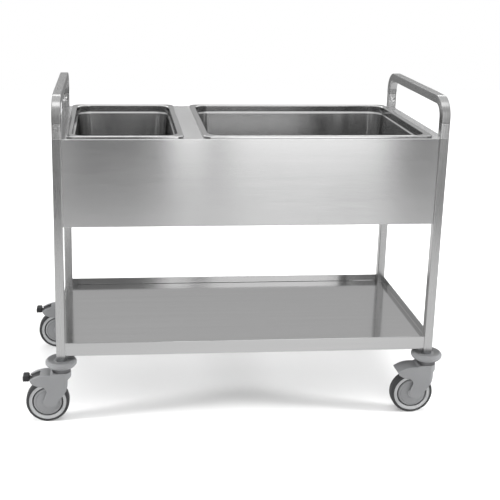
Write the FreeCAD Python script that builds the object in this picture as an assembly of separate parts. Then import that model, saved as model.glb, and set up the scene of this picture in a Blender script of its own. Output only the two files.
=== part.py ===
# Container trolley: a square-tube frame on four swivel castors carries a deck with two
# lift-out gastronorm pans and a rimmed bottom shelf.
# Millimetres, +Z up.  +X runs along the trolley to the right, +Y to the back.
import FreeCAD, Part
import math
import os

Vec = FreeCAD.Vector
X_AXIS = Vec(1, 0, 0)
Y_AXIS = Vec(0, 1, 0)
Z_AXIS = Vec(0, 0, 1)

# ---- frame ----
tube = 25.0                 # square tube, outside
tube_wall = 1.5
tube_corner = 3.0           # outside corner radius of the tube
frame_length = 1104.0       # over the posts, along X
frame_depth = 556.0         # over the posts, along Y
post_foot_z = 193.0         # lower end of the posts
sheet = 1.5                 # folded sheet

# ---- deck and aprons ----
deck_z = 836.0              # top of the deck
deck_end_inset = 4.0        # deck edge inside the posts' outer faces, at the ends
deck_side_inset = 6.0       # the same at the front and back
apron_height = 250.0
hem = 12.0                  # inward fold along the apron's lower edge
cutout_clearance = 4.0      # between a pan's upper wall and the deck
cross_channel_width = 40.0
cross_channel_height = 25.0

# ---- handles ----
bow_rise = 116.0            # top of the handle above the deck
bend_outer = 60.0           # outer radius of the handle's bends
sleeve_below = 45.0         # inner sleeve, below and above the joint at deck level
sleeve_above = 42.0
bolt_rise = 26.0            # handle bolt above the deck
bolt_shank_r = 3.0
bolt_head_r = 5.2
bolt_head_height = 3.3
washer_r = 8.0
washer_thickness = 1.4
bolt_length = 16.0

# ---- bottom shelf ----
shelf_rim_top = 241.0
shelf_rim_bottom = 201.0
shelf_floor_z = 220.0       # top of the shelf's floor
shelf_rim_thickness = 3.0
shelf_inset_end = 3.0
shelf_inset_side = 4.0
stiffener_width = 80.0
stiffener_height = 18.0

# ---- pans ----
pan_short = 325.0           # small pan, along X
pan_long = 650.0            # large pan, along X
pan_depth_y = 530.0         # both, along Y
pan_start_x = -516.0        # left edge of the small pan
pan_spacing = 54.0          # between the two pans' rims
pan_height = 200.0
pan_rim_height = 6.7        # folded-down edge of the rim
pan_seat_gap = 0.3          # rim above the deck
pan_flange = 15.0           # width of the rim
pan_wall = 1.0
pan_collar = 24.0           # straight upper part of the walls
pan_step = 4.0              # stacking shoulder under the collar
pan_draft = 11.0            # inward lean of the walls, each side, over their height
rim_corner = 20.0
wall_corner = 45.0
floor_round = 22.0

# ---- castors ----
wheel_r = 62.5
tyre_inner_r = 54.0
tyre_half_width = 16.0
rim_half_width = 14.5
rim_inner_r = 45.0
web_half = 9.0
hub_r = 12.0
hub_half = 18.0
cap_r = 41.0
axle_r = 6.0
running_gap = 0.05          # radial, between a shaft and its bore
trail = 40.0                # wheel axis behind the swivel axis, towards -X
fork_half = 27.0
fork_wall_half = 22.5       # inner face of the fork's cheeks
boss_half = 18.3            # inner face of the bosses round the axle
boss_r = 11.0
axle_half = 24.5
neck_r = 28.5
neck_top_z = 154.0
neck_flange_z = 137.0       # underside of the round flange at the neck's top
neck_front = 18.0           # the neck's leading face below it, from the swivel axis
neck_bottom_z = 113.0
roof_r = 88.0               # fender over the wheel
roof_thickness = 2.5
wheel_clearance_r = 66.0
race_r = 27.0
race_z = (154.3, 167.0)
stem_r = 8.0
stem_foot_z = 119.0
stem_collar_r = 11.0
shoulder_r = 14.0
shoulder_z = (187.0, 193.0)
plug_side = 21.8            # expander plug inside the post
plug_top_z = 238.0
bumper_r = 45.0
bumper_bottom_z = 167.0
bumper_top_z = 190.0

# ---- brake pedals, from the wheel's axis ----
pedal_pivot = (-14.0, 77.0)
pedal_pin_r = 2.5
pedal_arm_half = 12.0
pedal_arm_r = (78.0, 84.5)
pedal_arm_angles = (99.0, 125.0)
pedal_slot_end = -21.0      # where the slot in the fender stops
pedal_pad_x = (-70.0, -51.5)
pedal_pad_z = (65.0, 81.0)
pedal_pad_half = 15.0
shoe_r = 67.0
shoe_angles = (106.0, 118.0)
shoe_half = 10.0

# ---- worked out ----
post_x = (frame_length - tube) / 2
post_y = (frame_depth - tube) / 2
inner_x = frame_length / 2 - tube
inner_y = frame_depth / 2 - tube
deck_x = frame_length / 2 - deck_end_inset
deck_y = frame_depth / 2 - deck_side_inset
apron_top_z = deck_z - sheet
apron_bottom_z = deck_z - apron_height
shelf_x = frame_length / 2 - shelf_inset_end
shelf_y = frame_depth / 2 - shelf_inset_side
pan_top_z = deck_z + pan_seat_gap + pan_rim_height
small_pan_x = pan_start_x + pan_short / 2
large_pan_x = pan_start_x + pan_short + pan_spacing + pan_long / 2
land_x = pan_start_x + pan_short + pan_spacing / 2      # strip of deck between the pans
# The origin is on the floor under the middle of the whole outline, castors included.
centre_x = (bumper_r - trail + pedal_pad_x[0]) / 2

CASTORS = {
    "front_left": (-1, -1, True),
    "front_right": (1, -1, False),
    "rear_left": (-1, 1, True),
    "rear_right": (1, 1, False),
}

os.makedirs("parts", exist_ok=True)


def save(name, shape):
    """Move a finished shape into the part's frame and write it as its own node."""
    moved = shape.copy()
    moved.translate(Vec(-centre_x, 0, 0))
    moved.exportStep("parts/" + name + ".step")


def block(x0, x1, y0, y1, z0, z1):
    return Part.makeBox(x1 - x0, y1 - y0, z1 - z0, Vec(x0, y0, z0))


def rounded_wire(half_x, half_y, radius, x, y, z):
    """Closed rectangle with round corners, level at height z."""
    cx = half_x - radius
    cy = half_y - radius
    edges = []
    corners = ((1, 1, 0), (-1, 1, 90), (-1, -1, 180), (1, -1, 270))
    for index, (sx, sy, start) in enumerate(corners):
        centre = Vec(x + sx * cx, y + sy * cy, z)
        circle = Part.Circle(centre, Z_AXIS, radius)
        edges.append(Part.Arc(circle, math.radians(start), math.radians(start + 90)).toShape())
        nx, ny, turn = corners[(index + 1) % 4]
        after = Vec(x + nx * cx, y + ny * cy, z)
        reach = math.radians(start + 90)
        offset = Vec(radius * math.cos(reach), radius * math.sin(reach), 0)
        edges.append(Part.LineSegment(centre + offset, after + offset).toShape())
    return Part.Wire(Part.__sortEdges__(edges))


def rounded_prism(half_x, half_y, radius, x, y, z0, z1):
    wire = rounded_wire(half_x, half_y, radius, x, y, z0)
    return Part.Face(wire).extrude(Vec(0, 0, z1 - z0))


def turned(points, axis, x, y, z):
    """Solid of revolution from (radius, distance along the axis) points."""
    if axis == "z":
        profile = [Vec(x + r, y, z + d) for r, d in points]
        direction = Z_AXIS
    else:
        profile = [Vec(x + r, y + d, z) for r, d in points]
        direction = Y_AXIS
    wire = Part.makePolygon(profile + [profile[0]])
    return Part.Face(wire).revolve(Vec(x, y, z), direction, 360)


def cylinder(radius, start, direction, length):
    return Part.makeCylinder(radius, length, start, direction)


def post(sx, sy):
    """Upright, from the castor to the deck."""
    x = sx * post_x
    y = sy * post_y
    half = tube / 2
    inner = half - tube_wall
    outside = rounded_prism(half, half, tube_corner, x, y, post_foot_z, deck_z)
    hollow = rounded_prism(inner, inner, tube_corner - tube_wall, x, y, post_foot_z - 1, deck_z + 1)
    return outside.cut(hollow)


def handle_bow(sx):
    """Handle: one tube bent twice, standing on the front and the back post."""
    x = sx * post_x
    half = tube / 2
    radius = bend_outer - half
    bend_z = deck_z + bow_rise - bend_outer
    top_z = deck_z + bow_rise - half
    bend_y = post_y - radius

    def ring(size, corner, grow):
        leg = rounded_prism(size, size, corner, x, post_y, deck_z - grow, bend_z)
        face = Part.Face(rounded_wire(size, size, corner, x, post_y, bend_z))
        bend = face.revolve(Vec(x, bend_y, bend_z), X_AXIS, 90)
        bar_face = Part.Face(rounded_wire(size, size, corner, x, 0, 0))
        bar_face.rotate(Vec(x, 0, 0), X_AXIS, 90)
        bar_face.translate(Vec(0, bend_y, top_z))
        bar = bar_face.extrude(Vec(0, -2 * bend_y, 0))
        mirrored = [shape.mirror(Vec(0, 0, 0), Y_AXIS) for shape in (leg, bend)]
        return leg.multiFuse([bend, bar] + mirrored)

    body = ring(half, tube_corner, 0.0)
    hollow = ring(half - tube_wall, tube_corner - tube_wall, 1.0)
    body = body.cut(hollow)
    for sy in (-1, 1):
        inside = Vec(x, sy * (post_y - tube), deck_z + bolt_rise)
        body = body.cut(cylinder(bolt_shank_r + 0.2, inside, Vec(0, sy, 0), tube))
    return body.removeSplitter()


def bow_sleeves(sx):
    """Square sleeves that join a handle to its two posts from the inside."""
    outer = tube / 2 - tube_wall
    inner = outer - 2.0
    sleeves = []
    for sy in (-1, 1):
        x = sx * post_x
        y = sy * post_y
        low = deck_z - sleeve_below
        high = deck_z + sleeve_above
        body = rounded_prism(outer, outer, tube_corner - tube_wall, x, y, low, high)
        body = body.cut(block(x - inner, x + inner, y - inner, y + inner, low - 1, high + 1))
        start = Vec(x, sy * (post_y - tube), deck_z + bolt_rise)
        sleeves.append(body.cut(cylinder(bolt_shank_r, start, Vec(0, sy, 0), tube)))
    return Part.makeCompound(sleeves)


def handle_fasteners():
    """Button-head bolts and washers on the posts' inward faces."""
    bolts = []
    washers = []
    for sx in (-1, 1):
        for sy in (-1, 1):
            face_y = sy * (post_y - tube / 2)
            x = sx * post_x
            z = deck_z + bolt_rise
            inward = Vec(0, -sy, 0)
            seat = Vec(x, face_y - sy * washer_thickness, z)
            head = cylinder(bolt_head_r, seat, inward, bolt_head_height)
            head = head.makeFillet(1.6, [head.Edges[0]])
            tip = Vec(x, face_y + sy * (bolt_length - washer_thickness), z)
            shank = cylinder(bolt_shank_r, tip, inward, bolt_length)
            bolts.append(head.fuse(shank).removeSplitter())
            ring = cylinder(washer_r, Vec(x, face_y, z), inward, washer_thickness)
            hole = cylinder(bolt_shank_r + 0.2, Vec(x, face_y + sy, z), inward, washer_thickness + 2)
            washers.append(ring.cut(hole))
    return Part.makeCompound(bolts), Part.makeCompound(washers)


def notch_corners(shape, z0, z1):
    """Cut the four corners out where the posts pass."""
    for sx in (-1, 1):
        for sy in (-1, 1):
            corner = block(inner_x, inner_x + 2 * tube, inner_y, inner_y + 2 * tube, z0, z1)
            if sx < 0:
                corner = corner.mirror(Vec(0, 0, 0), X_AXIS)
            if sy < 0:
                corner = corner.mirror(Vec(0, 0, 0), Y_AXIS)
            shape = shape.cut(corner)
    return shape


def deck():
    """Deck sheet with the two pan cut-outs."""
    plate = block(-deck_x, deck_x, -deck_y, deck_y, deck_z - sheet, deck_z)
    plate = notch_corners(plate, deck_z - 2 * sheet, deck_z + sheet)
    for x, length in ((small_pan_x, pan_short), (large_pan_x, pan_long)):
        half_x = length / 2 - pan_flange + cutout_clearance
        half_y = pan_depth_y / 2 - pan_flange + cutout_clearance
        hole = rounded_prism(half_x, half_y, wall_corner, x, 0, deck_z - 2 * sheet, deck_z + sheet)
        plate = plate.cut(hole)
    return plate


def apron(sy):
    """Front or back apron, with its lower edge folded inwards."""
    outer = sy * deck_y
    inner = sy * (deck_y - sheet)
    fold = sy * (deck_y - hem)
    face = block(-inner_x, inner_x, min(outer, inner), max(outer, inner), apron_bottom_z, apron_top_z)
    lip = block(-inner_x, inner_x, min(outer, fold), max(outer, fold),
                apron_bottom_z, apron_bottom_z + sheet)
    return face.fuse(lip).removeSplitter()


def end_panel(sx):
    """End panel between a front and a back post."""
    outer = sx * deck_x
    inner = sx * (deck_x - sheet)
    fold = sx * (deck_x - hem)
    face = block(min(outer, inner), max(outer, inner), -inner_y, inner_y, apron_bottom_z, apron_top_z)
    lip = block(min(outer, fold), max(outer, fold), -inner_y, inner_y,
                apron_bottom_z, apron_bottom_z + sheet)
    return face.fuse(lip).removeSplitter()


def cross_channel():
    """Channel under the strip of deck between the two pans."""
    half = cross_channel_width / 2
    reach = deck_y - sheet
    low = apron_top_z - cross_channel_height
    outside = block(land_x - half, land_x + half, -reach, reach, low, apron_top_z)
    inside = block(land_x - half + sheet, land_x + half - sheet, -reach - 1, reach + 1,
                   low + sheet, apron_top_z + 1)
    return outside.cut(inside)


def shelf():
    """Bottom shelf: a floor with a rim that stands above and below it."""
    outside = block(-shelf_x, shelf_x, -shelf_y, shelf_y, shelf_rim_bottom, shelf_rim_top)
    rim = shelf_rim_thickness
    well = block(-shelf_x + rim, shelf_x - rim, -shelf_y + rim, shelf_y - rim,
                 shelf_floor_z, shelf_rim_top + 1)
    under = block(-shelf_x + rim, shelf_x - rim, -shelf_y + rim, shelf_y - rim,
                  shelf_rim_bottom - 1, shelf_floor_z - sheet)
    tray = outside.cut(well).cut(under)
    return notch_corners(tray, shelf_rim_bottom - 1, shelf_rim_top + 1)


def shelf_stiffener():
    """Hat section along the middle of the shelf, under its floor."""
    half = stiffener_width / 2
    reach = inner_x - tube
    top = shelf_floor_z - sheet
    low = top - stiffener_height
    outside = block(-reach, reach, -half, half, low, top)
    inside = block(-reach - 1, reach + 1, -half + sheet, half - sheet, low + sheet, top + 1)
    return outside.cut(inside)


def pan_body(x, half_x, half_y, corner, inward, top, floor_z, radius):
    """Solid that fills a pan's wall outline, drawn in by the given wall thickness."""
    step_z = pan_top_z - pan_collar + inward
    collar = rounded_prism(half_x - inward, half_y - inward, corner - inward, x, 0, step_z, top)
    wide = pan_step + inward
    narrow = pan_step + pan_draft + inward
    upper = rounded_wire(half_x - wide, half_y - wide, corner - wide, x, 0, step_z)
    lower = rounded_wire(half_x - narrow, half_y - narrow, corner - wide, x, 0, floor_z)
    well = Part.makeLoft([lower, upper], True, True)
    floor_edges = [edge for edge in well.Edges
                   if all(abs(vertex.Z - floor_z) < 0.01 for vertex in edge.Vertexes)]
    well = well.makeFillet(radius, floor_edges)
    return collar.fuse(well)


def pan(x, length):
    """Gastronorm pan: flat rim with a folded edge, straight collar, shoulder and leaning walls."""
    half_x = length / 2
    half_y = pan_depth_y / 2
    bottom = pan_top_z - pan_height
    rim = rounded_prism(half_x, half_y, rim_corner, x, 0, deck_z + pan_seat_gap, pan_top_z)
    under = rounded_prism(half_x - pan_wall, half_y - pan_wall, rim_corner - pan_wall, x, 0,
                          deck_z + pan_seat_gap - 1, pan_top_z - pan_wall)
    wall_x = half_x - pan_flange
    wall_y = half_y - pan_flange
    outside = pan_body(x, wall_x, wall_y, wall_corner, 0.0, pan_top_z, bottom, floor_round)
    inside = pan_body(x, wall_x, wall_y, wall_corner, pan_wall, pan_top_z + 1,
                      bottom + pan_wall, floor_round - pan_wall)
    return rim.cut(under).fuse(outside).cut(inside).removeSplitter()


def stem(x, y):
    """Castor stem: plug in the post, shoulder under it, and the swivel pin."""
    points = [(0, stem_foot_z), (stem_r, stem_foot_z), (stem_r, race_z[1]),
              (stem_collar_r, race_z[1]), (stem_collar_r, shoulder_z[0]),
              (shoulder_r, shoulder_z[0]), (shoulder_r, shoulder_z[1]), (0, shoulder_z[1])]
    pin = turned(points, "z", x, y, 0)
    plug = rounded_prism(plug_side / 2, plug_side / 2, 2.0, x, y, shoulder_z[1], plug_top_z)
    return pin.fuse(plug).removeSplitter()


def swivel_race(x, y):
    """Ball race between the stem and the fork."""
    low, high = race_z
    return turned([(stem_r, low), (race_r - 1, low), (race_r, low + 1), (race_r, high - 1),
                   (race_r - 1, high), (stem_r, high)], "z", x, y, 0)


def bumper(x, y):
    """Round bumper, dished on top, under the post."""
    low = bumper_bottom_z
    high = bumper_top_z
    points = [(stem_collar_r, low), (33, low), (40, low + 4), (bumper_r - 1.2, low + 9),
              (bumper_r, low + 12), (bumper_r - 0.8, low + 17), (41, high - 1), (38, high),
              (34, high - 0.6), (26, high - 3), (shoulder_r, shoulder_z[0]),
              (stem_collar_r, shoulder_z[0])]
    return turned(points, "z", x, y, 0)


def fork_outline(x, y, z):
    """Side view of the fork, from the neck over the fender and down to the axle."""
    def at(px, pz):
        return Vec(x + px, y, z + pz)

    def on_roof(angle):
        return at(roof_r * math.cos(math.radians(angle)), roof_r * math.sin(math.radians(angle)))

    neck_low = neck_bottom_z - wheel_r
    neck_high = neck_top_z - wheel_r
    flange_low = neck_flange_z - wheel_r
    neck_right = trail + neck_r
    front = trail + neck_front
    tip_high = on_roof(125)
    roof_start = on_roof(84)
    edges = [
        Part.LineSegment(at(neck_right, neck_high), at(neck_right, flange_low)),
        Part.LineSegment(at(neck_right, flange_low), at(front, flange_low - 5)),
        Part.LineSegment(at(front, flange_low - 5), at(front, neck_low)),
        Part.LineSegment(at(front, neck_low), at(54, 36)),
        Part.LineSegment(at(54, 36), at(30, 3)),
        Part.Arc(at(30, 3), at(5, -13.5), at(-12.5, 2)),
        Part.Arc(at(-12.5, 2), at(-8, 18), at(-2, 32)),
        Part.Arc(at(-2, 32), at(-6, 45), at(-20, 51)),
        Part.Arc(at(-20, 51), at(-34, 55.5), at(-45, 62)),
        Part.LineSegment(at(-45, 62), tip_high),
        Part.Arc(tip_high, on_roof(104), roof_start),
        Part.LineSegment(roof_start, at(trail - neck_r + 4, neck_high)),
        Part.LineSegment(at(trail - neck_r + 4, neck_high), at(neck_right, neck_high)),
    ]
    return Part.Wire([edge.toShape() for edge in edges])


def fork(x, y, braked):
    """Plastic fork housing: neck, fender and two cheeks that hold the axle."""
    wheel_x = x - trail
    low = y - fork_half
    body = Part.Face(fork_outline(wheel_x, low, wheel_r)).extrude(Vec(0, 2 * fork_half, 0))
    # The neck is round in plan.
    behind = block(x, x + 2 * neck_r, y - 2 * fork_half, y + 2 * fork_half, 0, neck_top_z + 1)
    round_neck = cylinder(neck_r, Vec(x, y, 0), Z_AXIS, neck_top_z + 1)
    body = body.cut(behind.cut(round_neck))
    # Room for the wheel, up to the fender's roof.
    width = 2 * fork_wall_half
    start = Vec(wheel_x, y - fork_wall_half, wheel_r)
    room = cylinder(wheel_clearance_r, start, Y_AXIS, width)
    attic = cylinder(roof_r - roof_thickness, start, Y_AXIS, width)
    ahead = block(x - neck_r - 4, x + 2 * neck_r, y - fork_half, y + fork_half, 0, 2 * neck_top_z)
    body = body.cut(room.fuse(attic.cut(ahead)))
    for side in (-1, 1):
        foot = Vec(wheel_x, y + side * boss_half, wheel_r)
        boss = cylinder(boss_r, foot, Vec(0, side, 0), fork_wall_half - boss_half + 0.5)
        body = body.fuse(boss)
    body = body.cut(cylinder(axle_r, Vec(wheel_x, y - axle_half, wheel_r), Y_AXIS, 2 * axle_half))
    bore = cylinder(stem_r + running_gap, Vec(x, y, 0), Z_AXIS, neck_top_z + 1)
    body = body.cut(bore)
    if braked:
        half = pedal_pad_half + 0.5
        px, pz = pedal_pivot
        slot = block(wheel_x - roof_r, wheel_x + pedal_slot_end, y - half, y + half,
                     wheel_r + 50, wheel_r + roof_r + 2)
        body = body.cut(slot)
        pin = cylinder(pedal_pin_r, Vec(wheel_x + px, y - fork_wall_half - 2, wheel_r + pz),
                       Y_AXIS, width + 4)
        body = body.cut(pin)
    return body.removeSplitter()


def axle(x, y):
    return cylinder(axle_r, Vec(x - trail, y - axle_half, wheel_r), Y_AXIS, 2 * axle_half)


def wheel_core(x, y):
    """Wheel body: hub, web and rim."""
    bore = axle_r + running_gap
    half = [(bore, hub_half), (hub_r, hub_half), (hub_r, web_half), (rim_inner_r - 1, web_half),
            (rim_inner_r, rim_half_width), (tyre_inner_r, rim_half_width)]
    points = half + [(r, -d) for r, d in reversed(half)]
    return turned(points, "y", x - trail, y, wheel_r)


def tyre(x, y):
    """Tread with a rounded section."""
    half = [(tyre_inner_r, tyre_half_width - 1.5), (tyre_inner_r + 2, tyre_half_width),
            (wheel_r - 5.5, tyre_half_width - 0.6), (wheel_r - 2.6, tyre_half_width - 3),
            (wheel_r - 0.8, tyre_half_width - 7), (wheel_r, tyre_half_width - 12)]
    points = half + [(r, -d) for r, d in reversed(half)]
    return turned(points, "y", x - trail, y, wheel_r)


def hub_caps(x, y):
    """Round caps in the wheel's two faces."""
    caps = []
    for side in (-1, 1):
        points = [(hub_r + 0.3, side * web_half), (cap_r, side * web_half),
                  (cap_r, side * (web_half + 3.5)), (cap_r - 4, side * (web_half + 5.5)),
                  (25, side * (web_half + 6.5)), (hub_r + 0.3, side * (web_half + 7))]
        caps.append(turned(points, "y", x - trail, y, wheel_r))
    return Part.makeCompound(caps)


def sector(inner_r, outer_r, angles, half, x, y):
    """Curved bar round the wheel's axis, between two radii and two angles."""
    def at(radius, angle):
        turn = math.radians(angle)
        return Vec(x + radius * math.cos(turn), y - half, wheel_r + radius * math.sin(turn))

    start, end = angles
    middle = (start + end) / 2
    edges = [
        Part.Arc(at(outer_r, start), at(outer_r, middle), at(outer_r, end)),
        Part.LineSegment(at(outer_r, end), at(inner_r, end)),
        Part.Arc(at(inner_r, end), at(inner_r, middle), at(inner_r, start)),
        Part.LineSegment(at(inner_r, start), at(outer_r, start)),
    ]
    wire = Part.Wire([edge.toShape() for edge in edges])
    return Part.Face(wire).extrude(Vec(0, 2 * half, 0))


def brake_pedal(x, y):
    """Foot pedal: a pad behind the fender on an arm that lies in its roof."""
    wheel_x = x - trail
    arm = sector(pedal_arm_r[0], pedal_arm_r[1], pedal_arm_angles, pedal_arm_half, wheel_x, y)
    pad = block(wheel_x + pedal_pad_x[0], wheel_x + pedal_pad_x[1],
                y - pedal_pad_half, y + pedal_pad_half,
                wheel_r + pedal_pad_z[0], wheel_r + pedal_pad_z[1])
    pad = pad.makeFillet(4.0, [edge for edge in pad.Edges if abs(edge.tangentAt(0).y) > 0.9])
    bridge = block(wheel_x + pedal_pad_x[1] - 2, wheel_x - 45, y - pedal_arm_half, y + pedal_arm_half,
                   wheel_r + 65, wheel_r + 72)
    px, pz = pedal_pivot
    eye = cylinder(4.6, Vec(wheel_x + px, y - pedal_arm_half, wheel_r + pz), Y_AXIS,
                   2 * pedal_arm_half)
    body = arm.multiFuse([pad, bridge, eye])
    pin_hole = cylinder(pedal_pin_r + running_gap, Vec(wheel_x + px, y - fork_half, wheel_r + pz),
                        Y_AXIS, 2 * fork_half)
    return body.cut(pin_hole).removeSplitter()


def pedal_pin(x, y):
    px, pz = pedal_pivot
    reach = fork_wall_half + 2
    return cylinder(pedal_pin_r, Vec(x - trail + px, y - reach, wheel_r + pz), Y_AXIS, 2 * reach)


# ---- write every piece ----
for end, sx in (("left", -1), ("right", 1)):
    save("handle_bow_" + end, handle_bow(sx))
    save("bow_sleeves_" + end, bow_sleeves(sx))
    save("end_panel_" + end, end_panel(sx))
bolts, washers = handle_fasteners()
save("handle_bolts", bolts)
save("handle_washers", washers)
save("deck", deck())
save("apron_front", apron(-1))
save("apron_back", apron(1))
save("cross_channel", cross_channel())
save("bottom_shelf", shelf())
save("shelf_stiffener", shelf_stiffener())
save("small_pan", pan(small_pan_x, pan_short))
save("large_pan", pan(large_pan_x, pan_long))
for place, (sx, sy, braked) in CASTORS.items():
    x = sx * post_x
    y = sy * post_y
    save("post_" + place, post(sx, sy))
    save("castor_stem_" + place, stem(x, y))
    save("swivel_race_" + place, swivel_race(x, y))
    save("bumper_" + place, bumper(x, y))
    save("fork_" + place, fork(x, y, braked))
    save("axle_" + place, axle(x, y))
    save("wheel_core_" + place, wheel_core(x, y))
    save("tyre_" + place, tyre(x, y))
    save("hub_caps_" + place, hub_caps(x, y))
    if braked:
        save("brake_pedal_" + place, brake_pedal(x, y))
        save("brake_shoe_" + place,
             sector(shoe_r, pedal_arm_r[0], shoe_angles, shoe_half, x - trail, y))
        save("pedal_pin_" + place, pedal_pin(x, y))
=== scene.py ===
import bmesh
import bpy
import math
from mathutils import Matrix, Vector
from mathutils.geometry import tessellate_polygon


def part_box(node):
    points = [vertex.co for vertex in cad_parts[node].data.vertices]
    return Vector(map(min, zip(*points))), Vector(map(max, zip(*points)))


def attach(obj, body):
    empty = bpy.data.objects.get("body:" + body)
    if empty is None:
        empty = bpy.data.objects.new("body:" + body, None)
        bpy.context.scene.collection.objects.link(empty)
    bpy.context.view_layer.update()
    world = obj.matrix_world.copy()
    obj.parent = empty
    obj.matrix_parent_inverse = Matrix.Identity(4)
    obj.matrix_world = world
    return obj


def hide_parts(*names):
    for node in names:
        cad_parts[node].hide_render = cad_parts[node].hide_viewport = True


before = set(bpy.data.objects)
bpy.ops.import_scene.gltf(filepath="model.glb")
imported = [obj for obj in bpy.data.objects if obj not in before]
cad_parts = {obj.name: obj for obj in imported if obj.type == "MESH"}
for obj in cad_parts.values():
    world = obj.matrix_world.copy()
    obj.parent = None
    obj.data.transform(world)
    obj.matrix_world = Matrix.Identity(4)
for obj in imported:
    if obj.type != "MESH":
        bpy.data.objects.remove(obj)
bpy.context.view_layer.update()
mm = 0.001
corners = ("front_left", "front_right", "rear_left", "rear_right")
print("frame loaded:", len(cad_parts), "nodes")


# small helpers for meshes

def makeObject(name, mesh):
    obj = bpy.data.objects.new(name, mesh)
    bpy.context.scene.collection.objects.link(obj)
    return obj


def meshFrom(name, points, faces):
    mesh = bpy.data.meshes.new(name)
    mesh.from_pydata([tuple(point) for point in points], [], faces)
    return makeObject(name, mesh)


def mergePoints(obj, distance=0.02 * mm, turnOut=True):
    work = bmesh.new()
    work.from_mesh(obj.data)
    bmesh.ops.remove_doubles(work, verts=work.verts, dist=distance)
    if turnOut:
        bmesh.ops.recalc_face_normals(work, faces=work.faces)
    work.to_mesh(obj.data)
    work.free()


def flatten(obj):  # the modifiers' result becomes a plain mesh
    graph = bpy.context.evaluated_depsgraph_get()
    shown = obj.evaluated_get(graph)
    mesh = bpy.data.meshes.new_from_object(shown, preserve_all_data_layers=True, depsgraph=graph)
    obj.modifiers.clear()
    obj.data = mesh


def shade(obj, sharpAngle=38):  # smooth, with large flat faces kept flat
    mesh = obj.data
    mesh.polygons.foreach_set("use_smooth", [True] * len(mesh.polygons))
    mesh.set_sharp_from_angle(angle=math.radians(sharpAngle))
    weighted = obj.modifiers.new("weighted", "WEIGHTED_NORMAL")
    weighted.keep_sharp = True
    weighted.weight = 100
    flatten(obj)


def addGrain(obj, grainAt):  # UV map whose U runs along the brushing
    mesh = obj.data
    layer = mesh.uv_layers.new(name="grain")
    for face in mesh.polygons:
        along = grainAt(face.center)
        along = along - face.normal * along.dot(face.normal)
        if along.length < 0.2:
            along = face.normal.orthogonal()
        along.normalize()
        across = face.normal.cross(along)
        for loop in face.loop_indices:
            point = mesh.vertices[mesh.loops[loop].vertex_index].co
            layer.data[loop].uv = (point.dot(along), point.dot(across))


def finishPiece(obj, body, material, nodes=()):
    obj.data.materials.clear()
    obj.data.materials.append(material)
    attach(obj, body)
    if nodes:
        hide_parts(*nodes)
    return obj


def roundCorners(outline, steps=5, closed=True):  # each point is (x, y) or (x, y, radius)
    result = []
    count = len(outline)
    for index, point in enumerate(outline):
        here = Vector(point[:2])
        radius = point[2] if len(point) > 2 else 0
        if radius <= 0 or (not closed and index in (0, count - 1)):
            result.append(here)
            continue
        before = (Vector(outline[index - 1][:2]) - here).normalized()
        after = (Vector(outline[(index + 1) % count][:2]) - here).normalized()
        half = before.angle(after) / 2
        centre = here + (before + after).normalized() * (radius / math.sin(half))
        start = here + before * (radius / math.tan(half)) - centre
        end = here + after * (radius / math.tan(half)) - centre
        first = math.atan2(start.y, start.x)
        turn = (math.atan2(end.y, end.x) - first + math.pi) % (2 * math.pi) - math.pi
        for step in range(steps + 1):
            angle = first + turn * step / steps
            result.append(centre + Vector((math.cos(angle), math.sin(angle))) * radius)
    return result


def lathe(name, outline, centre, axis, turns, steps=5):  # outline: (radius, along, corner) in mm
    profile = roundCorners(outline, steps)
    across = Vector((1, 0, 0))
    up = Vector((0, 1, 0)) if axis == "Z" else Vector((0, 0, 1))
    along = Vector((0, 0, 1)) if axis == "Z" else Vector((0, 1, 0))
    points = []
    faces = []
    size = len(profile)
    for turn in range(turns):
        angle = 2 * math.pi * turn / turns
        out = across * math.cos(angle) + up * math.sin(angle)
        points += [centre + (out * p.x + along * p.y) * mm for p in profile]
        after = (turn + 1) % turns
        for k in range(size):
            m = (k + 1) % size
            faces.append((turn * size + k, turn * size + m, after * size + m, after * size + k))
    obj = meshFrom(name, points, faces)
    mergePoints(obj)
    return obj


# geometry node trees

def newTree(name, sockets):
    tree = bpy.data.node_groups.new(name, "GeometryNodeTree")
    tree.is_modifier = True
    tree.interface.new_socket("Geometry", in_out="INPUT", socket_type="NodeSocketGeometry")
    for label, kind in sockets:
        tree.interface.new_socket(label, in_out="INPUT", socket_type="NodeSocket" + kind)
    tree.interface.new_socket("Geometry", in_out="OUTPUT", socket_type="NodeSocketGeometry")
    return tree, tree.nodes.new("NodeGroupInput"), tree.nodes.new("NodeGroupOutput")


def addNode(tree, kind, inputs=None, **settings):
    node = tree.nodes.new(kind)
    for key, value in settings.items():
        setattr(node, key, value)
    for key, value in (inputs or {}).items():
        if isinstance(value, bpy.types.NodeSocket):
            tree.links.new(value, node.inputs[key])
        else:
            node.inputs[key].default_value = value
    return node


def closeTree(tree, given, output, geometry):  # realize, give the material, and end the tree
    real = addNode(tree, "GeometryNodeRealizeInstances", {"Geometry": geometry})
    painted = addNode(tree, "GeometryNodeSetMaterial",
                      {"Geometry": real.outputs[0], "Material": given.outputs["Material"]})
    tree.links.new(painted.outputs[0], output.inputs[0])
    return tree


def runTree(obj, tree, values):
    modifier = obj.modifiers.new(tree.name, "NODES")
    modifier.node_group = tree
    for item in tree.interface.items_tree:
        if item.item_type == "SOCKET" and item.in_out == "INPUT" and item.name in values:
            modifier[item.identifier] = values[item.name]
    flatten(obj)
    return obj


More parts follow.
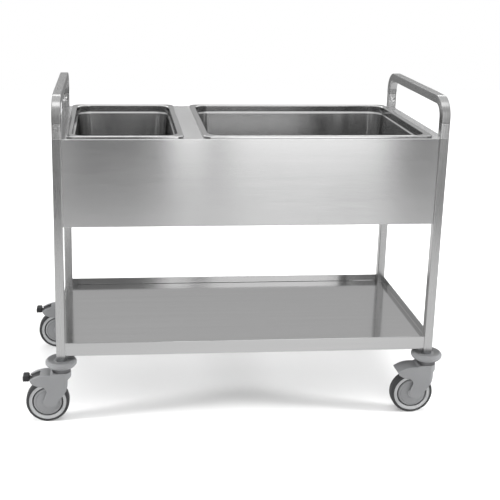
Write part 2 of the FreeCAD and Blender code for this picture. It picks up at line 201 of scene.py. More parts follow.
def tubeTree():  # square tube with round edges along a bent path
    tree, given, output = newTree("squareTube", (
        ("Side", "Float"), ("Edge radius", "Float"), ("Bend radius", "Float"),
        ("Bend steps", "Int"), ("Material", "Material")))
    path = addNode(tree, "GeometryNodeMeshToCurve", {"Mesh": given.outputs["Geometry"]})
    bent = addNode(tree, "GeometryNodeFilletCurve", {
        "Curve": path.outputs[0], "Radius": given.outputs["Bend radius"],
        "Count": given.outputs["Bend steps"]}, mode="POLY")
    square = addNode(tree, "GeometryNodeCurvePrimitiveQuadrilateral", {
        "Width": given.outputs["Side"], "Height": given.outputs["Side"]})
    section = addNode(tree, "GeometryNodeFilletCurve", {
        "Curve": square.outputs[0], "Radius": given.outputs["Edge radius"], "Count": 5}, mode="POLY")
    spots = []
    for curve in (bent, section):  # lengths along the tube and round it become its UV map
        measure = addNode(tree, "GeometryNodeSplineParameter")
        keep = addNode(tree, "GeometryNodeCaptureAttribute", {"Geometry": curve.outputs[0]})
        keep.capture_items.new("FLOAT", "length")
        tree.links.new(measure.outputs["Length"], keep.inputs[1])
        spots.append(keep)
    swept = addNode(tree, "GeometryNodeCurveToMesh", {
        "Curve": spots[0].outputs[0], "Profile Curve": spots[1].outputs[0], "Fill Caps": True})
    pair = addNode(tree, "ShaderNodeCombineXYZ", {
        "X": spots[0].outputs[1], "Y": spots[1].outputs[1]})
    named = addNode(tree, "GeometryNodeStoreNamedAttribute", {
        "Geometry": swept.outputs[0], "Name": "grain"}, data_type="FLOAT2", domain="CORNER")
    tree.links.new(pair.outputs[0], named.inputs["Value"])
    return closeTree(tree, given, output, named.outputs[0])


def copyTree():  # puts a template on every point, turned about Z by the point's "turn"
    tree, given, output = newTree("copiesOnPoints", (("Template", "Object"), ("Material", "Material")))
    template = addNode(tree, "GeometryNodeObjectInfo", {"Object": given.outputs["Template"]})
    turn = addNode(tree, "GeometryNodeInputNamedAttribute", {"Name": "turn"}, data_type="FLOAT")
    angles = addNode(tree, "ShaderNodeCombineXYZ", {"Z": turn.outputs[0]})
    placed = addNode(tree, "GeometryNodeInstanceOnPoints", {
        "Points": given.outputs["Geometry"], "Instance": template.outputs["Geometry"],
        "Rotation": angles.outputs[0]})
    return closeTree(tree, given, output, placed.outputs[0])


def ribTree():  # a row of small bars, each a box, from a start point
    tree, given, output = newTree("ribs", (
        ("Count", "Int"), ("Start", "Vector"), ("Step", "Vector"), ("Size", "Vector"),
        ("Material", "Material")))
    row = addNode(tree, "GeometryNodeMeshLine", {
        "Count": given.outputs["Count"], "Start Location": given.outputs["Start"],
        "Offset": given.outputs["Step"]})
    bar = addNode(tree, "GeometryNodeMeshCube", {"Size": given.outputs["Size"]})
    placed = addNode(tree, "GeometryNodeInstanceOnPoints", {
        "Points": row.outputs[0], "Instance": bar.outputs[0]})
    return closeTree(tree, given, output, placed.outputs[0])


# materials

def newMaterial(name):
    material = bpy.data.materials.new(name)
    material.use_nodes = True
    return material, material.node_tree, material.node_tree.nodes["Principled BSDF"]


def noiseOn(tree, vector, scale, stretch, detail=3.0, roughness=0.55):
    place = addNode(tree, "ShaderNodeMapping", {"Vector": vector, "Scale": stretch})
    return addNode(tree, "ShaderNodeTexNoise", {
        "Vector": place.outputs[0], "Scale": scale, "Detail": detail, "Roughness": roughness})


def spread(tree, value, low, high, fromLow=0.3, fromHigh=0.7):
    return addNode(tree, "ShaderNodeMapRange", {
        "Value": value, "From Min": fromLow, "From Max": fromHigh, "To Min": low, "To Max": high})


def blend(tree, factor, first, second):  # each end is a socket or a plain colour
    mix = addNode(tree, "ShaderNodeMix", data_type="RGBA")
    tree.links.new(factor, mix.inputs["Factor"])
    for key, value in (("A", first), ("B", second)):
        if isinstance(value, bpy.types.NodeSocket):
            tree.links.new(value, mix.inputs[key])
        else:
            mix.inputs[key].default_value = (*value, 1)
    return mix.outputs["Result"]


def addRelief(tree, shader, height, look):
    bump = addNode(tree, "ShaderNodeBump", {
        "Height": height, "Strength": look["bump"], "Distance": look["depth"]})
    tree.links.new(bump.outputs[0], shader.inputs["Normal"])


def brushedSteel(name, look):
    material, tree, shader = newMaterial(name)
    grain = addNode(tree, "ShaderNodeUVMap", uv_map="grain").outputs[0]
    place = addNode(tree, "ShaderNodeTexCoord").outputs["Object"]
    fine = noiseOn(tree, grain, look["lines"], (look["lineStretch"], 1, 1), 4, 0.65)
    broad = noiseOn(tree, grain, look["bands"], (look["bandStretch"], 1, 1), 2)
    smears = noiseOn(tree, place, look["smears"], (1, 1, 1), 4, 0.6)
    shader.inputs["Metallic"].default_value = 1
    shader.inputs["Anisotropic"].default_value = look["anisotropy"]
    shader.inputs["Anisotropic Rotation"].default_value = 0.25
    tangent = addNode(tree, "ShaderNodeTangent", direction_type="UV_MAP", uv_map="grain")
    tree.links.new(tangent.outputs[0], shader.inputs["Tangent"])
    colour = blend(tree, broad.outputs["Fac"], look["dark"], look["light"])
    tree.links.new(colour, shader.inputs["Base Color"])
    lineRough = spread(tree, fine.outputs["Fac"], look["smooth"], look["rough"])
    smearRough = spread(tree, smears.outputs["Fac"], -look["smearShare"], look["smearShare"])
    both = addNode(tree, "ShaderNodeMath", {0: lineRough.outputs[0], 1: smearRough.outputs[0]},
                   operation="ADD", use_clamp=True)
    tree.links.new(both.outputs[0], shader.inputs["Roughness"])
    addRelief(tree, shader, fine.outputs["Fac"], look)
    return material


def satinMetal(name, look):
    material, tree, shader = newMaterial(name)
    place = addNode(tree, "ShaderNodeTexCoord").outputs["Object"]
    fine = noiseOn(tree, place, look["grain"], look["stretch"], 4, 0.6)
    smears = noiseOn(tree, place, look["smears"], (1, 1, 1), 3)
    shader.inputs["Metallic"].default_value = 1
    colour = blend(tree, smears.outputs["Fac"], look["dark"], look["light"])
    tree.links.new(colour, shader.inputs["Base Color"])
    rough = spread(tree, fine.outputs["Fac"], look["smooth"], look["rough"])
    tree.links.new(rough.outputs[0], shader.inputs["Roughness"])
    addRelief(tree, shader, fine.outputs["Fac"], look)
    return material


def mouldedPlastic(name, look):
    material, tree, shader = newMaterial(name)
    place = addNode(tree, "ShaderNodeTexCoord").outputs["Object"]
    grain = noiseOn(tree, place, look["grain"], (1, 1, 1), 3, 0.6)
    cloud = noiseOn(tree, place, look["cloud"], (1, 1, 1), 4, 0.6)
    shader.inputs["Specular IOR Level"].default_value = look["shine"]
    colour = blend(tree, cloud.outputs["Fac"], look["dark"], look["light"])
    tree.links.new(colour, shader.inputs["Base Color"])
    rough = spread(tree, cloud.outputs["Fac"], look["smooth"], look["rough"])
    tree.links.new(rough.outputs[0], shader.inputs["Roughness"])
    addRelief(tree, shader, grain.outputs["Fac"], look)
    return material


sheetSteelLook = {
    "dark": (0.63, 0.63, 0.632), "light": (0.68, 0.68, 0.68), "anisotropy": 0.85,
    "smooth": 0.18, "rough": 0.24, "smearShare": 0.015,
    "lines": 900, "lineStretch": 0.012, "bands": 60, "bandStretch": 0.02, "smears": 5,
    "bump": 0.06, "depth": 0.00002,
}
tubeSteelLook = dict(sheetSteelLook, dark=(0.48, 0.48, 0.48), light=(0.53, 0.53, 0.53), lines=1100,
                     anisotropy=0.6, smooth=0.24, rough=0.34)
# a lighter copy of the tube steel for the handle legs' lower ends: a painted highlight for the glint
# just above the deck
paintedGlintLook = dict(sheetSteelLook, dark=(0.78, 0.78, 0.78), light=(0.84, 0.84, 0.84), anisotropy=0.3,
                    smooth=0.20, rough=0.29, bump=0.02)
# the shelf's smoother finish is its own; its darker colour is painted shade from the deck and pans above
shelfShadeSteelLook = dict(sheetSteelLook, dark=(0.49, 0.49, 0.49), light=(0.54, 0.54, 0.54), anisotropy=0.45,
                      smooth=0.08, rough=0.15, bump=0.04)
panSteelLook = {
    "dark": (0.57, 0.57, 0.57), "light": (0.62, 0.62, 0.62), "smooth": 0.10, "rough": 0.16,
    "grain": 60, "stretch": (1, 1, 0.2), "smears": 7, "bump": 0.01, "depth": 0.00001,
}
fastenerLook = dict(panSteelLook, dark=(0.88, 0.88, 0.88), light=(0.94, 0.94, 0.94),
                    smooth=0.08, rough=0.14, stretch=(1, 1, 1), grain=500)
zincLook = dict(panSteelLook, dark=(0.42, 0.43, 0.44), light=(0.56, 0.57, 0.58),
                smooth=0.28, rough=0.45, stretch=(1, 1, 1), grain=700)
raceLook = dict(zincLook, dark=(0.13, 0.13, 0.135), light=(0.20, 0.20, 0.205), smooth=0.4, rough=0.55)
greyPlasticLook = {
    "dark": (0.124, 0.126, 0.129), "light": (0.152, 0.154, 0.157), "smooth": 0.38, "rough": 0.52,
    "shine": 0.4,
    "grain": 1400, "cloud": 18, "bump": 0.16, "depth": 0.00006,
}
rimPlasticLook = dict(greyPlasticLook, dark=(0.24, 0.243, 0.246), light=(0.285, 0.288, 0.291))
tyreLook = dict(greyPlasticLook, dark=(0.016, 0.016, 0.017), light=(0.034, 0.034, 0.035),
                smooth=0.55, rough=0.75, grain=700, cloud=30, bump=0.25, shine=0.25)
pedalLook = dict(greyPlasticLook, dark=(0.008, 0.008, 0.009), light=(0.016, 0.016, 0.017),
                 smooth=0.35, rough=0.5, shine=0.3)

sheetSteel = brushedSteel("sheetSteel", sheetSteelLook)
tubeSteel = brushedSteel("tubeSteel", tubeSteelLook)
paintedGlintSteel = brushedSteel("paintedGlintSteel", paintedGlintLook)
shelfSteel = brushedSteel("shelfSteel", shelfShadeSteelLook)
panSteel = satinMetal("panSteel", panSteelLook)
fastenerSteel = satinMetal("fastenerSteel", fastenerLook)
zincSteel = satinMetal("zincSteel", zincLook)
raceSteel = satinMetal("raceSteel", raceLook)
castorGrey = mouldedPlastic("castorGrey", greyPlasticLook)
rimGrey = mouldedPlastic("rimGrey", rimPlasticLook)
tyreRubber = mouldedPlastic("tyreRubber", tyreLook)
pedalBlack = mouldedPlastic("pedalBlack", pedalLook)
print("materials ready")


# folded sheets: a flat field whose four sides are bent along a profile

def foldedSheet(name, lo, hi, posts, level, profile, holes, thickness):
    x0, x1, y0, y1 = posts  # the posts' inward faces, where the corners are notched
    inset = -profile[0].x * mm
    outline = [
        (x0, lo.y + inset), (x1, lo.y + inset), (x1, y0), (hi.x - inset, y0),
        (hi.x - inset, y1), (x1, y1), (x1, hi.y - inset), (x0, hi.y - inset),
        (x0, y1), (lo.x + inset, y1), (lo.x + inset, y0), (x0, y0)]
    loops = [[Vector((x, y, level)) for x, y in outline]] + holes
    points = [point for loop in loops for point in loop]
    faces = []
    for a, b, c in tessellate_polygon(loops):
        turn = (points[b] - points[a]).cross(points[c] - points[a]).z
        faces.append((a, b, c) if turn > 0 else (a, c, b))
    sides = (
        (Vector((x0, lo.y, level)), Vector((x1, lo.y, level)), Vector((0, -1, 0))),
        (Vector((hi.x, y0, level)), Vector((hi.x, y1, level)), Vector((1, 0, 0))),
        (Vector((x1, hi.y, level)), Vector((x0, hi.y, level)), Vector((0, 1, 0))),
        (Vector((lo.x, y1, level)), Vector((lo.x, y0, level)), Vector((-1, 0, 0))))
    for start, end, out in sides:
        first = len(points)
        for step in profile:
            shift = (out * step.x + Vector((0, 0, step.y))) * mm
            points += [start + shift, end + shift]
        for k in range(len(profile) - 1):
            a = first + 2 * k
            faces.append((a + 2, a + 3, a + 1, a))
    obj = meshFrom(name, points, faces)
    mergePoints(obj, turnOut=False)
    solid = obj.modifiers.new("sheet", "SOLIDIFY")
    solid.thickness = thickness * mm
    solid.offset = -1
    flatten(obj)
    shade(obj)
    return obj


def roundedRing(lo, hi, inset, radius, z, steps=12):  # rectangle with round corners, at height z
    ring = []
    x0, x1, y0, y1 = lo.x + inset, hi.x - inset, lo.y + inset, hi.y - inset
    for cx, cy, start in ((x1, y1, 0), (x0, y1, 90), (x0, y0, 180), (x1, y0, 270)):
        mx = cx - radius if cx == x1 else cx + radius
        my = cy - radius if cy == y1 else cy + radius
        for k in range(steps + 1):
            angle = math.radians(start + 90 * k / steps)
            ring.append(Vector((mx + radius * math.cos(angle), my + radius * math.sin(angle), z)))
    return ring


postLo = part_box("post_front_left")[1]
postFace = (postLo.x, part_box("post_front_right")[0].x, postLo.y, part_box("post_rear_left")[0].y)

deckLook = {
    "bend": 2.5, "bendSteps": 6, "thickness": 1.5, "hem": 12, "hemBend": 2.0,
    "cutoutInset": 11, "cutoutCorner": 45,
}
alongX = Vector((1, 1e-4, 0))  # brushed along the trolley, a hair off its axis
alongY = Vector((0, 1, 0))


def makeDeck():
    lo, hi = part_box("deck")
    height = (hi.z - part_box("apron_front")[0].z) / mm
    bend = deckLook["bend"]
    profile = roundCorners([
        (-bend - 0.01, 0), (0, 0, bend), (0, -height, deckLook["hemBend"]),
        (-deckLook["hem"], -height)], deckLook["bendSteps"], closed=False)
    holes = []
    for pan in ("small_pan", "large_pan"):
        panLo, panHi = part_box(pan)
        holes.append(roundedRing(panLo, panHi, deckLook["cutoutInset"] * mm,
                                 deckLook["cutoutCorner"] * mm, hi.z))
    deck = foldedSheet("deckShell", lo, hi, postFace, hi.z, profile, holes, deckLook["thickness"])

    def grainAt(centre):  # the end panels are brushed from front to back, the rest along the deck
        onSide = abs(centre.y) > abs(postFace[3]) - mm
        onTop = centre.z > hi.z - 2 * mm
        return alongX if onSide or onTop else alongY

    addGrain(deck, grainAt)
    finishPiece(deck, "root", sheetSteel,
                ("deck", "apron_front", "apron_back", "end_panel_left", "end_panel_right"))


shelfLook = {
    "rim": 3.0, "thickness": 1.0, "floorSheet": 1.5, "floorBend": 2.0, "bendSteps": 6,
    "hem": 10, "hemBend": 1.5, "rimZone": 6.0,
}


def makeShelf():
    lo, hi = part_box("bottom_shelf")
    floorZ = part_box("shelf_stiffener")[1].z + shelfLook["floorSheet"] * mm
    rim = shelfLook["rim"]
    top = (hi.z - floorZ) / mm
    low = (lo.z - floorZ) / mm
    bend = shelfLook["floorBend"]
    profile = roundCorners([
        (-rim - bend - 0.01, 0), (-rim, 0, bend), (-rim, top, rim / 2 - 0.01),
        (0, top, rim / 2 - 0.01), (0, low, shelfLook["hemBend"]), (-shelfLook["hem"], low)],
        shelfLook["bendSteps"], closed=False)
    tray = foldedSheet("shelfTray", lo, hi, postFace, floorZ, profile, [], shelfLook["thickness"])
    middle = (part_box("deck")[0].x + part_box("deck")[1].x) / 2
    reach = 0.5 * (hi.x - lo.x) - shelfLook["rimZone"] * mm
    addGrain(tray, lambda centre: alongX if abs(centre.x - middle) < reach else alongY)
    finishPiece(tray, "root", shelfSteel, ("bottom_shelf",))


makeDeck()
makeShelf()
print("deck and shelf folded")


# pans, drawn from one profile round a rounded rectangle

panLook = {
    "lip": 6.7, "lipBend": 2.5, "crown": 0.9, "crownAt": 0.48, "crownBend": 12.0,
    "flange": 16, "flangeBend": 4.0, "dip": 0.3,
    "collar": 23.0, "collarLean": 0.2, "step": 4.0, "stepDrop": 2.5, "stepBend": 3.0,
    "lean": 11.0, "floorRound": 21.0, "floorEdge": 12.0, "floorRise": 0.2, "sheet": 1.0,
    "rimCorner": 20.0, "wallCorner": 44.0, "cornerShrink": 0.55, "bendSteps": 7, "sharpAngle": 50,
}


def makePan(node, name):
    lo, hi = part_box(node)
    look = panLook
    depth = (hi.z - lo.z) / mm - look["sheet"]
    wall = look["flange"]
    below = wall + look["step"]
    foot = below + look["lean"]
    profile = roundCorners([
        (0, -look["lip"]), (0, -look["crown"], look["lipBend"]),
        (wall * look["crownAt"], 0, look["crownBend"]), (wall, -look["dip"], look["flangeBend"]),
        (wall + look["collarLean"], -look["collar"], look["stepBend"]),
        (below, -look["collar"] - look["stepDrop"], look["stepBend"]),
        (foot, -depth, look["floorRound"]),
        (foot + look["floorRound"] + look["floorEdge"], -depth + look["floorRise"])],
        look["bendSteps"], closed=False)
    rings = []
    for spot in profile:
        share = min(max((spot.x - 1) / (wall - 3), 0), 1)  # 0 at the lip, 1 just before the wall
        corner = look["rimCorner"] + (look["wallCorner"] - look["rimCorner"]) * share
        if spot.x > wall:
            corner = look["wallCorner"] - (spot.x - wall) * look["cornerShrink"]
        rings.append(roundedRing(lo, hi, spot.x * mm, corner * mm, hi.z + spot.y * mm))
    points = [point for ring in rings for point in ring]
    size = len(rings[0])
    faces = []
    for k in range(len(rings) - 1):
        for j in range(size):
            m = (j + 1) % size
            faces.append((k * size + j, k * size + m, (k + 1) * size + m, (k + 1) * size + j))
    faces.append(tuple((len(rings) - 1) * size + j for j in range(size)))
    pan = meshFrom(name, points, faces)
    mergePoints(pan, turnOut=False)
    solid = pan.modifiers.new("sheet", "SOLIDIFY")
    solid.thickness = look["sheet"] * mm
    solid.offset = -1
    solid.use_even_offset = True
    flatten(pan)
    shade(pan, look["sharpAngle"])
    finishPiece(pan, node, panSteel, (node,))


makePan("small_pan", "smallPan")
makePan("large_pan", "largePan")
print("pans drawn")


# square tube: posts and handles

tubeLook = {
    "edge": 3.0, "bendOuter": 60.0, "bendSteps": 28, "seam": 0.3, "rim": 0.5, "rimAngle": 60,
    "legEnd": 44.0,
}
squareTube = tubeTree()


def makeTube(name, route, bendRadius, node, side, material):
    mesh = bpy.data.meshes.new(name)
    mesh.from_pydata([tuple(p) for p in route], [(k, k + 1) for k in range(len(route) - 1)], [])
    tube = makeObject(name, mesh)
    runTree(tube, squareTube, {
        "Side": side, "Edge radius": tubeLook["edge"] * mm, "Bend radius": bendRadius,
        "Bend steps": tubeLook["bendSteps"], "Material": material})
    mergePoints(tube)
    rims = tube.modifiers.new("rims", "BEVEL")  # the sawn ends are broken by hand
    rims.limit_method = "ANGLE"
    rims.angle_limit = math.radians(tubeLook["rimAngle"])
    rims.width = tubeLook["rim"] * mm
    rims.segments = 2
    flatten(tube)
    shade(tube)
    finishPiece(tube, "root", material, (node,))


def makePosts():
    for corner in corners:
        lo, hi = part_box("post_" + corner)
        x, y = (lo.x + hi.x) / 2, (lo.y + hi.y) / 2
        top = hi.z - tubeLook["seam"] * mm
        makeTube("post_" + corner.replace("_", "."), [Vector((x, y, lo.z)), Vector((x, y, top))],
                 0, "post_" + corner, hi.x - lo.x, tubeSteel)


def makeHandles():
    for end in ("left", "right"):
        node = "handle_bow_" + end
        lo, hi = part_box(node)
        side = hi.x - lo.x
        x = (lo.x + hi.x) / 2
        y0, y1 = lo.y + side / 2, hi.y - side / 2
        top = hi.z - side / 2
        foot = lo.z + tubeLook["seam"] * mm
        joint = lo.z + tubeLook["legEnd"] * mm
        # the lower leg ends get the lighter copy of the tube steel, a painted highlight at the joint
        for y, label in ((y0, ".front"), (y1, ".rear")):
            makeTube("legEnd." + end + label,
                     [Vector((x, y, foot)), Vector((x, y, joint - tubeLook["seam"] * mm))],
                     0, node, side, paintedGlintSteel)
        route = [Vector((x, y0, joint)), Vector((x, y0, top)), Vector((x, y1, top)),
                 Vector((x, y1, joint))]
        makeTube("handleBow." + end, route, tubeLook["bendOuter"] * mm - side / 2, node, side, tubeSteel)


makePosts()
makeHandles()
print("posts and handles bent")


# button-head bolts and their washers on the posts' inward faces

boltLook = {
    "headR": 5.2, "headHeight": 3.3, "headEdge": 0.7, "domeSteps": 6, "sides": 36,
    "socket": 3.2, "socketDepth": 2.0, "socketRim": 0.5,
    "washerR": 8.0, "washer": 1.4, "washerHole": 3.2, "washerTop": 5.6, "washerEdge": 0.5,
    "washerTurns": 48,
}
onPoints = copyTree()


def boltTemplate():
    look = boltLook
    edge = look["headEdge"]
    flat = look["socket"] + look["socketRim"]
    sides = look["sides"]
    rings = [(look["headR"], 0), (look["headR"], edge)]
    for k in range(1, look["domeSteps"] + 1):  # the head's dome
        angle = math.pi / 2 * k / look["domeSteps"]
        rings.append((flat + (look["headR"] - flat) * math.cos(angle),
                      edge + (look["headHeight"] - edge) * math.sin(angle)))
    points = []
    for radius, along in rings:
        for k in range(sides):
            angle = 2 * math.pi * k / sides
            points.append(Vector((radius * math.cos(angle), along, radius * math.sin(angle))) * mm)
    for along in (look["headHeight"], look["headHeight"] - look["socketDepth"]):  # the hexagon
        for k in range(sides):
            angle = 2 * math.pi * k / sides
            reach = look["socket"] * math.cos(math.pi / 6)
            reach /= math.cos((angle % (math.pi / 3)) - math.pi / 6)
            points.append(Vector((reach * math.cos(angle), along, reach * math.sin(angle))) * mm)
    count = len(rings) + 2
    faces = [tuple(range(sides)), tuple((count - 1) * sides + k for k in range(sides))]
    for ring in range(count - 1):
        for k in range(sides):
            m = (k + 1) % sides
            faces.append((ring * sides + k, ring * sides + m, (ring + 1) * sides + m,
                          (ring + 1) * sides + k))
    return meshFrom("boltTemplate", points, faces)


def makeFasteners():
    look = boltLook
    washer = lathe("washerTemplate", [
        (look["washerHole"], 0), (look["washerR"], 0), (look["washerR"], look["washerEdge"], 0.2),
        (look["washerTop"], look["washer"], 2.0), (look["washerHole"], look["washer"])],
        Vector((0, 0, 0)), "Y", look["washerTurns"], 4)
    bolt = boltTemplate()
    mergePoints(bolt)
    shade(bolt)
    shade(washer)
    lo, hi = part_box("handle_washers")
    for name, template, lift, node in (
            ("handleBolts", bolt, look["washer"] * mm, "handle_bolts"),
            ("handleWashers", washer, 0, "handle_washers")):
        spots = []
        turns = []
        for corner in corners:
            postLow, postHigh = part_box("post_" + corner)
            x = (postLow.x + postHigh.x) / 2
            front = postLow.y < 0
            y = postHigh.y + lift if front else postLow.y - lift
            spots.append((x, y, (lo.z + hi.z) / 2))
            turns.append(0 if front else math.pi)
        mesh = bpy.data.meshes.new(name)
        mesh.from_pydata(spots, [], [])
        mesh.attributes.new("turn", "FLOAT", "POINT").data.foreach_set("value", turns)
        group = makeObject(name, mesh)
        runTree(group, onPoints, {"Template": template, "Material": fastenerSteel})
        finishPiece(group, "root", fastenerSteel, (node,))
    bpy.data.objects.remove(bolt)
    bpy.data.objects.remove(washer)


makeFasteners()
print("handle bolts in place")


# castors

bumperLook = {
    "outline": [  # (radius, height above the bumper's underside, corner), in mm
        (11.2, 0.2), (32.5, 0.1, 2.0), (40, 4.2, 5.0), (44.9, 10.5, 3.5), (44.7, 17.5, 3.0),
        (41, 22.2, 2.5), (37, 22.9, 1.6), (32, 21.4, 4.0), (22, 18.6, 3.0), (15.0, 18.8, 0.5),
        (11.2, 18.4)],
    "turns": 96,
}
wheelLook = {  # outlines are (radius, distance from the wheel's middle, corner), in mm
    "tyre": [(54.05, 15.9, 1.0), (56.8, 15.9, 0.4), (57.4, 15.5, 0.4), (62.4, 15.4, 6.6),
             (62.4, -15.4, 6.6), (57.4, -15.5, 0.4), (56.8, -15.9, 0.4), (54.05, -15.9, 1.0)],
    "core": [(6.2, 17.9), (12, 17.9, 0.8), (12, 8.9, 1.5), (44.2, 8.9, 1.2), (45, 14.4, 0.9),
             (54, 14.4), (54, -14.4), (45, -14.4, 0.9), (44.2, -8.9, 1.2), (12, -8.9, 1.5),
             (12, -17.9, 0.8), (6.2, -17.9)],
    "cap": [(12.3, 9.0), (41, 9.0), (41, 12.4, 1.2), (37.5, 14.6, 3.0), (34, 14.6, 0.5),
            (33.5, 14.2, 0.4), (32, 14.2, 0.4), (31.5, 14.8, 0.5), (20, 15.8, 8.0), (12.3, 16.0, 0.6)],
    # a dark ring laid in the gap between rim and hub cap, painted shade for the shadow there
    "gapShade": [(41.3, 9.0), (44.0, 9.0), (44.3, 10.6, 0.3), (41.3, 10.6, 0.3)],
    "turns": 128, "cornerSteps": 4, "treadSteps": 8,
}
mouldLook = {
    "forkVoxel": 1.15, "pedalVoxel": 0.8, "softening": 0.5, "weld": 0.005,
    "forkPasses": 4, "pedalPasses": 3, "shoePasses": 2,
}
gripLook = {
    "count": 6, "depth": 1.4, "width": 1.4, "pitch": 3.0, "widthShare": 0.78, "sunk": 1.2,
    "fromTop": 4.5,
}
ribs = ribTree()


def mouldedCopy(name, node, voxel, passes):  # a CAD shape with the soft edges of a moulding
    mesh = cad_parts[node].data.copy()
    obj = makeObject(name, mesh)
    mergePoints(obj, mouldLook["weld"] * mm, turnOut=False)
    remesh = obj.modifiers.new("remesh", "REMESH")
    remesh.mode = "VOXEL"
    remesh.voxel_size = voxel * mm
    soften = obj.modifiers.new("soften", "SMOOTH")
    soften.factor = mouldLook["softening"]
    soften.iterations = passes
    flatten(obj)
    obj.data.polygons.foreach_set("use_smooth", [True] * len(obj.data.polygons))
    return obj


def bothSides(name, outline, centre):  # the same ring on both faces of a wheel
    halves = []
    for side in (1, -1):
        turned = [(spot[0], spot[1] * side) + tuple(spot[2:]) for spot in outline]
        halves.append(lathe(name, turned, centre, "Y", wheelLook["turns"], wheelLook["cornerSteps"]))
    work = bmesh.new()
    for half in halves:
        work.from_mesh(half.data)
    work.to_mesh(halves[0].data)
    work.free()
    bpy.data.objects.remove(halves[1])
    shade(halves[0])
    return halves[0]


def makeCastor(corner):
    tyreLo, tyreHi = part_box("tyre_" + corner)
    wheel = (tyreLo + tyreHi) / 2
    bumperLo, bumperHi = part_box("bumper_" + corner)
    under = Vector(((bumperLo.x + bumperHi.x) / 2, (bumperLo.y + bumperHi.y) / 2, bumperLo.z))
    label = corner.replace("_", ".")
    castor = "castor_" + corner
    spin = "wheel_" + corner

    bumper = lathe("bumper." + label, bumperLook["outline"], under, "Z", bumperLook["turns"])
    shade(bumper)
    finishPiece(bumper, "root", castorGrey, ("bumper_" + corner,))

    fork = mouldedCopy("forkHousing." + label, "fork_" + corner, mouldLook["forkVoxel"],
                       mouldLook["forkPasses"])
    finishPiece(fork, castor, castorGrey, ("fork_" + corner,))

    look = wheelLook
    tyre = lathe("tyre." + label, look["tyre"], wheel, "Y", look["turns"], look["treadSteps"])
    shade(tyre)
    finishPiece(tyre, spin, tyreRubber, ("tyre_" + corner,))

    core = lathe("wheelCore." + label, look["core"], wheel, "Y", look["turns"], look["cornerSteps"])
    shade(core)
    finishPiece(core, spin, rimGrey, ("wheel_core_" + corner,))

    # the second ring is painted shade: a dark ring put in the rim gap, where only shade falls
    for name, outline, material, slotName, nodes in (
            ("hubCap.", look["cap"], castorGrey, "cap_grey", ("hub_caps_" + corner,)),
            ("dustSeal.", look["gapShade"], tyreRubber, "tyre_rubber", ())):
        pair = bothSides(name + label, outline, wheel)
        finishPiece(pair, spin, material, nodes)


def makePedal(corner):
    label = corner.replace("_", ".")
    body = "pedal_" + corner
    node = "brake_pedal_" + corner
    pedal = mouldedCopy("brakePedal." + label, node, mouldLook["pedalVoxel"], mouldLook["pedalPasses"])
    finishPiece(pedal, body, pedalBlack, (node,))
    shoe = mouldedCopy("brakeShoe." + label, "brake_shoe_" + corner, mouldLook["pedalVoxel"],
                       mouldLook["shoePasses"])
    finishPiece(shoe, body, pedalBlack, ("brake_shoe_" + corner,))

    lo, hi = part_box(node)
    look = gripLook
    width = (hi.y - lo.y) * look["widthShare"]
    grip = makeObject("pedalGrip." + label, bpy.data.meshes.new("pedalGrip"))
    runTree(grip, ribs, {
        "Count": look["count"],
        "Start": (lo.x + look["sunk"] * mm, (lo.y + hi.y) / 2, hi.z - look["fromTop"] * mm),
        "Step": (0, 0, -look["pitch"] * mm),
        "Size": (look["depth"] * mm, width, look["width"] * mm),
        "Material": pedalBlack})
    finishPiece(grip, body, pedalBlack)


for corner in corners:
    makeCastor(corner)
for corner in ("front_left", "rear_left"):
    makePedal(corner)
print("castors assembled")


# CAD nodes that keep their own shape get their finish

finishOf = {
    "castor_stem": zincSteel, "swivel_race": raceSteel, "axle": zincSteel, "pedal_pin": zincSteel,
    "bow_sleeves": zincSteel, "cross_channel": zincSteel, "shelf_stiffener": zincSteel,
}


def dressNodes():
    for name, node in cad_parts.items():
        for start, material in finishOf.items():
            if name.startswith(start):
                node.data.materials.clear()
                node.data.materials.append(material)


dressNodes()


# floor, light and camera

stageLook = {
    "floorSize": 12.0, "floorColour": (0.74, 0.74, 0.74), "floorRough": 0.7, "floorShine": 0.2,
    "farGlow": 0.7, "glowFrom": 0.6, "glowTo": 1.9,
    "mirroredX": (-3.2, 3.2), "mirroredY": (-2.2, 2.0), "mirroredGlow": 0.92, "mirroredZ": -0.002,
    "paper": 1.0, "fill": 0.55, "skyBlend": 0.35,
    "frontSky": ((0.0, 0.15), (0.44, 0.165), (0.60, 0.30), (1.0, 0.85)),  # (height share, brightness)
    "backSky": ((0.0, 0.26), (0.46, 0.28), (0.56, 0.42), (0.63, 0.50), (0.78, 0.8), (1.0, 0.9)),
}
lightLook = {  # place, aim, width, height, watts, seen in the steel
    "overhead": ((0.2, -0.2, 3.4), (0.0, 0.0, 0.0), 3.4, 3.0, 62, False),
    "leftLow": ((-2.8, -0.7, 1.0), (0.0, 0.0, 0.0), 0.5, 0.5, 108, False),
    "rightLow": ((2.8, -0.7, 1.0), (0.0, 0.0, 0.0), 0.5, 0.5, 108, False),
    "frontLow": ((0.0, -3.2, 1.0), (0.0, 0.0, 0.0), 2.6, 0.9, 50, False),
    "frontPanel": ((0.875, -3.6, 1.35), (0.875, 0.0, 1.35), 1.07, 2.7, 14, True),
    "frontStrip": ((0.115, -3.6, 1.35), (0.115, 0.0, 1.35), 0.25, 2.7, 3.5, True),
    "leftCard": ((-0.705, -3.6, 0.21), (-0.705, 0.0, 0.21), 0.2, 0.10, 0.15, True),
    "rightCard": ((1.755, -3.6, 0.21), (1.755, 0.0, 0.21), 0.2, 0.10, 0.10, True),
    "overheadStrip": ((0.1, -0.9, 3.0), (0.1, 0.0, 0.0), 2.6, 1.0, 9, True),
    "rearBand": ((0.0, 3.0, 2.9), (0.0, 0.0, 0.7), 4.5, 0.8, 22, True),
    "rearPanel": ((-2.6, 3.0, 1.0), (-0.3, 0.0, 0.7), 1.4, 1.8, 12, True),
}
cameraLook = {
    "place": (-0.3518, -2.8762, 1.3714), "yaw": 4.924, "pitch": 14.276, "roll": 0.861,
    "lens": 69.88, "sensor": 36.0, "shiftX": 0.11, "shiftY": -0.13,
}


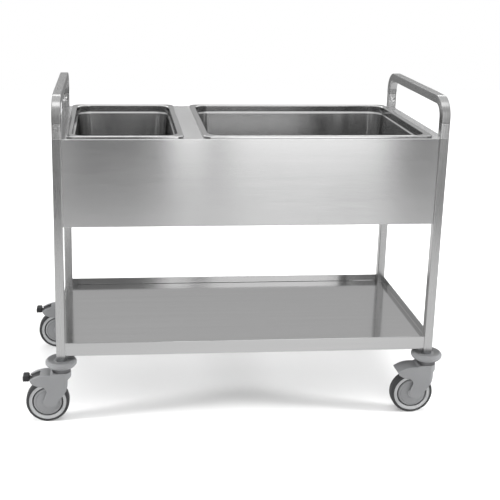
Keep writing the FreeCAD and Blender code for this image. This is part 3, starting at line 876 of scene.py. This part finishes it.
def makeStage():
    half = stageLook["floorSize"] / 2
    floor = meshFrom("floor", [(-half, -half, 0), (half, -half, 0), (half, half, 0), (-half, half, 0)],
                     [(0, 1, 2, 3)])
    material, tree, shader = newMaterial("floorPaper")
    shader.inputs["Base Color"].default_value = (*stageLook["floorColour"], 1)
    shader.inputs["Roughness"].default_value = stageLook["floorRough"]
    shader.inputs["Specular IOR Level"].default_value = stageLook["floorShine"]
    shader.inputs["Emission Color"].default_value = (1, 1, 1, 1)
    spot = addNode(tree, "ShaderNodeTexCoord").outputs["Object"]
    reach = addNode(tree, "ShaderNodeVectorMath", {0: spot}, operation="LENGTH")
    glow = spread(tree, reach.outputs["Value"], 0, stageLook["farGlow"], stageLook["glowFrom"],
                  stageLook["glowTo"])  # the far paper burns out to white
    tree.links.new(glow.outputs[0], shader.inputs["Emission Strength"])
    floor.data.materials.append(material)
    floor.visible_glossy = False

    # the steel mirrors only this nearer sheet of paper, the room past it is darker
    (x0, x1), (y0, y1) = stageLook["mirroredX"], stageLook["mirroredY"]
    z = stageLook["mirroredZ"]
    sheet = meshFrom("mirroredPaper", [(x0, y0, z), (x1, y0, z), (x1, y1, z), (x0, y1, z)],
                     [(0, 1, 2, 3)])
    material, tree, shader = newMaterial("mirroredPaper")
    shader.inputs["Base Color"].default_value = (0, 0, 0, 1)
    shader.inputs["Emission Color"].default_value = (1, 1, 1, 1)
    shader.inputs["Emission Strength"].default_value = stageLook["mirroredGlow"]
    sheet.data.materials.append(material)
    sheet.visible_camera = False
    sheet.visible_diffuse = False
    sheet.visible_shadow = False


def skyRamp(tree, height, stops):
    ramp = addNode(tree, "ShaderNodeValToRGB", {"Fac": height})
    while len(ramp.color_ramp.elements) < len(stops):
        ramp.color_ramp.elements.new(0.5)
    for element, (share, level) in zip(ramp.color_ramp.elements, stops):
        element.position = share
        element.color = (level, level, level, 1)
    return ramp.outputs["Color"]


def makeWorld():  # white behind, even fill, and a darker room in the reflections
    world = bpy.data.worlds.new("studio")
    world.use_nodes = True
    bpy.context.scene.world = world
    tree = world.node_tree
    direction = addNode(tree, "ShaderNodeTexCoord").outputs["Generated"]
    axes = addNode(tree, "ShaderNodeSeparateXYZ", {0: direction})
    height = spread(tree, axes.outputs["Z"], 0, 1, -1, 1).outputs[0]
    band = stageLook["skyBlend"]
    behind = spread(tree, axes.outputs["Y"], 0, 1, -band, band).outputs[0]
    room = blend(tree, behind, skyRamp(tree, height, stageLook["frontSky"]),
                 skyRamp(tree, height, stageLook["backSky"]))
    path = addNode(tree, "ShaderNodeLightPath")
    lit = blend(tree, path.outputs["Is Diffuse Ray"], room, (stageLook["fill"],) * 3)
    seen = blend(tree, path.outputs["Is Camera Ray"], lit, (stageLook["paper"],) * 3)
    tree.links.new(seen, tree.nodes["Background"].inputs["Color"])


def makeLights():
    for name, (place, aim, width, height, watts, mirrored) in lightLook.items():
        lamp = bpy.data.lights.new(name, "AREA")
        lamp.shape = "RECTANGLE"
        lamp.size = width
        lamp.size_y = height
        lamp.energy = watts
        obj = makeObject(name, lamp)
        obj.location = place
        aimAt = Vector(aim) - Vector(place)
        obj.rotation_euler = aimAt.to_track_quat("-Z", "Y").to_euler()
        obj.visible_camera = False
        obj.visible_glossy = mirrored


def makeCamera():
    look = cameraLook
    yaw, pitch, roll = (math.radians(look[key]) for key in ("yaw", "pitch", "roll"))
    ahead = Vector((math.sin(yaw) * math.cos(pitch), math.cos(yaw) * math.cos(pitch), -math.sin(pitch)))
    right = Vector((math.cos(yaw), -math.sin(yaw), 0))
    up = right.cross(ahead)
    tiltedRight = right * math.cos(roll) + up * math.sin(roll)
    tiltedUp = up * math.cos(roll) - right * math.sin(roll)
    data = bpy.data.cameras.new("camera")
    data.lens = look["lens"]
    data.sensor_width = look["sensor"]
    data.shift_x = look["shiftX"]
    data.shift_y = look["shiftY"]
    camera = makeObject("camera", data)
    turn = Matrix((tiltedRight, tiltedUp, -ahead)).transposed()
    camera.matrix_world = Matrix.Translation(look["place"]) @ turn.to_4x4()
    bpy.context.scene.camera = camera


makeStage()
makeWorld()
makeLights()
makeCamera()
bpy.context.scene.view_settings.view_transform = "Standard"
